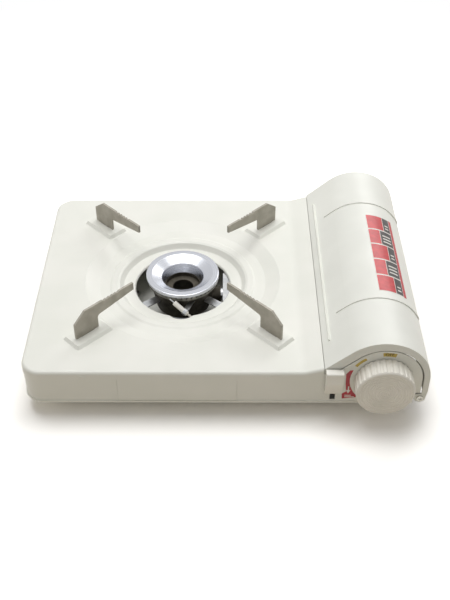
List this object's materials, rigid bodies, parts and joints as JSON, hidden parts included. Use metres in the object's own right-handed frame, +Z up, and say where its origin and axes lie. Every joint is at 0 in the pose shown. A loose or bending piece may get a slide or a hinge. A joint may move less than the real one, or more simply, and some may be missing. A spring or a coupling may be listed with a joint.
{
  "type": "portable butane cassette stove",
  "caption": "Single-burner portable gas stove with a round recessed drip dish, four fixed pot supports, a side cartridge bay under a hinged cover, a control knob and a lock lever.",
  "frame": {"origin": "under the middle of the whole stove, at the level of the surface its feet stand on", "axes": "+X runs from the burner to the cartridge bay, +Y from the knob to the back, +Z up"},
  "size_m": [0.34, 0.2694, 0.0843],
  "materials": {
    "white_enamel": "gloss",
    "cover_enamel": "gloss",
    "support_enamel": "satin",
    "plated_steel": "satin",
    "spun_steel": "brushed",
    "casting": "matte",
    "die_cast": "matte",
    "brass": "satin",
    "ceramic": "gloss",
    "black_plastic": "matte",
    "knob_plastic": "satin",
    "lever_plastic": "satin",
    "rubber": "matte",
    "copper": "satin",
    "lead_jacket": "satin",
    "screw_steel": "bright"
  },
  "bodies": {
    "stove": {"lower_case": "white_enamel", "base_pan": "white_enamel", "top_plate": "white_enamel", "skirt_studs": "white_enamel", "pot_support_front_left": "support_enamel", "pot_support_front_right": "support_enamel", "pot_support_back_left": "support_enamel", "pot_support_back_right": "support_enamel", "bay_partition": "plated_steel", "heat_plate": "plated_steel", "support_keepers": "plated_steel", "burner_stays": "plated_steel", "jet_bracket": "plated_steel", "burner_bracket": "plated_steel", "electrode_bracket": "plated_steel", "rod_guides": "plated_steel", "regulator_posts": "plated_steel", "lever_pin": "plated_steel", "lever_detent": "plated_steel", "hinge_bracket_front": "plated_steel", "hinge_bracket_rear": "plated_steel", "guide_plate": "plated_steel", "cartridge_cradles": "plated_steel", "mixing_tube": "plated_steel", "air_shutter": "plated_steel", "electrode_pin": "plated_steel", "burner_cap": "spun_steel", "burner_body": "casting", "port_ring": "casting", "regulator_body": "die_cast", "regulator_cap": "die_cast", "cartridge_socket": "die_cast", "injector_jet": "brass", "electrode_ceramic": "ceramic", "piezo_igniter": "black_plastic", "foot_front_left": "rubber", "foot_front_right": "rubber", "foot_rear_left": "rubber", "foot_rear_right": "rubber", "stem_seal": "rubber", "gas_tube": "copper", "ignition_lead": "lead_jacket", "case_screws": "screw_steel", "hinge_screw_front": "screw_steel", "hinge_screw_rear": "screw_steel"},
    "cover": {"cover_shell": "cover_enamel", "cover_front_end": "cover_enamel", "cover_rear_end": "cover_enamel"},
    "knob": {"knob": "knob_plastic", "valve_spindle": "plated_steel", "igniter_cam": "black_plastic", "spindle_clip": "plated_steel"},
    "striker": {"igniter_striker": "black_plastic", "striker_spring": "plated_steel"},
    "lever": {"lever_cap": "lever_plastic", "lever_arm": "plated_steel"},
    "carriage": {"cartridge_pusher": "plated_steel", "push_rod": "plated_steel", "pusher_spring": "plated_steel"}
  },
  "joints": [
    {"name": "cover_hinge", "type": "hinge", "parent": "stove", "child": "cover", "pos_m": [0.164, 0.008, 0.0218], "axis": [0, 1, 0], "range_deg": [0, 100]},
    {"name": "knob_turn", "type": "hinge", "parent": "stove", "child": "knob", "pos_m": [0.1315, -0.126, 0.0425], "axis": [0, -1, 0], "range_deg": [0, 110]},
    {"name": "striker_slide", "type": "slide", "parent": "stove", "child": "striker", "axis": [-1, 0, 0], "range_m": [0, 0.0029], "deforming": ["striker_spring"]},
    {"name": "lever_rock", "type": "hinge", "parent": "stove", "child": "lever", "pos_m": [0.0905, -0.086, 0.027], "axis": [1, 0, 0], "range_deg": [0, 16]},
    {"name": "carriage_slide", "type": "slide", "parent": "stove", "child": "carriage", "axis": [0, -1, 0], "range_m": [0, 0.005]}
  ],
  "couplings": [
    {"joint": "striker_slide", "follows": "knob_turn", "m_per_rad": 0.0015},
    {"joint": "carriage_slide", "follows": "lever_rock", "m_per_rad": 0.0175}
  ]
}
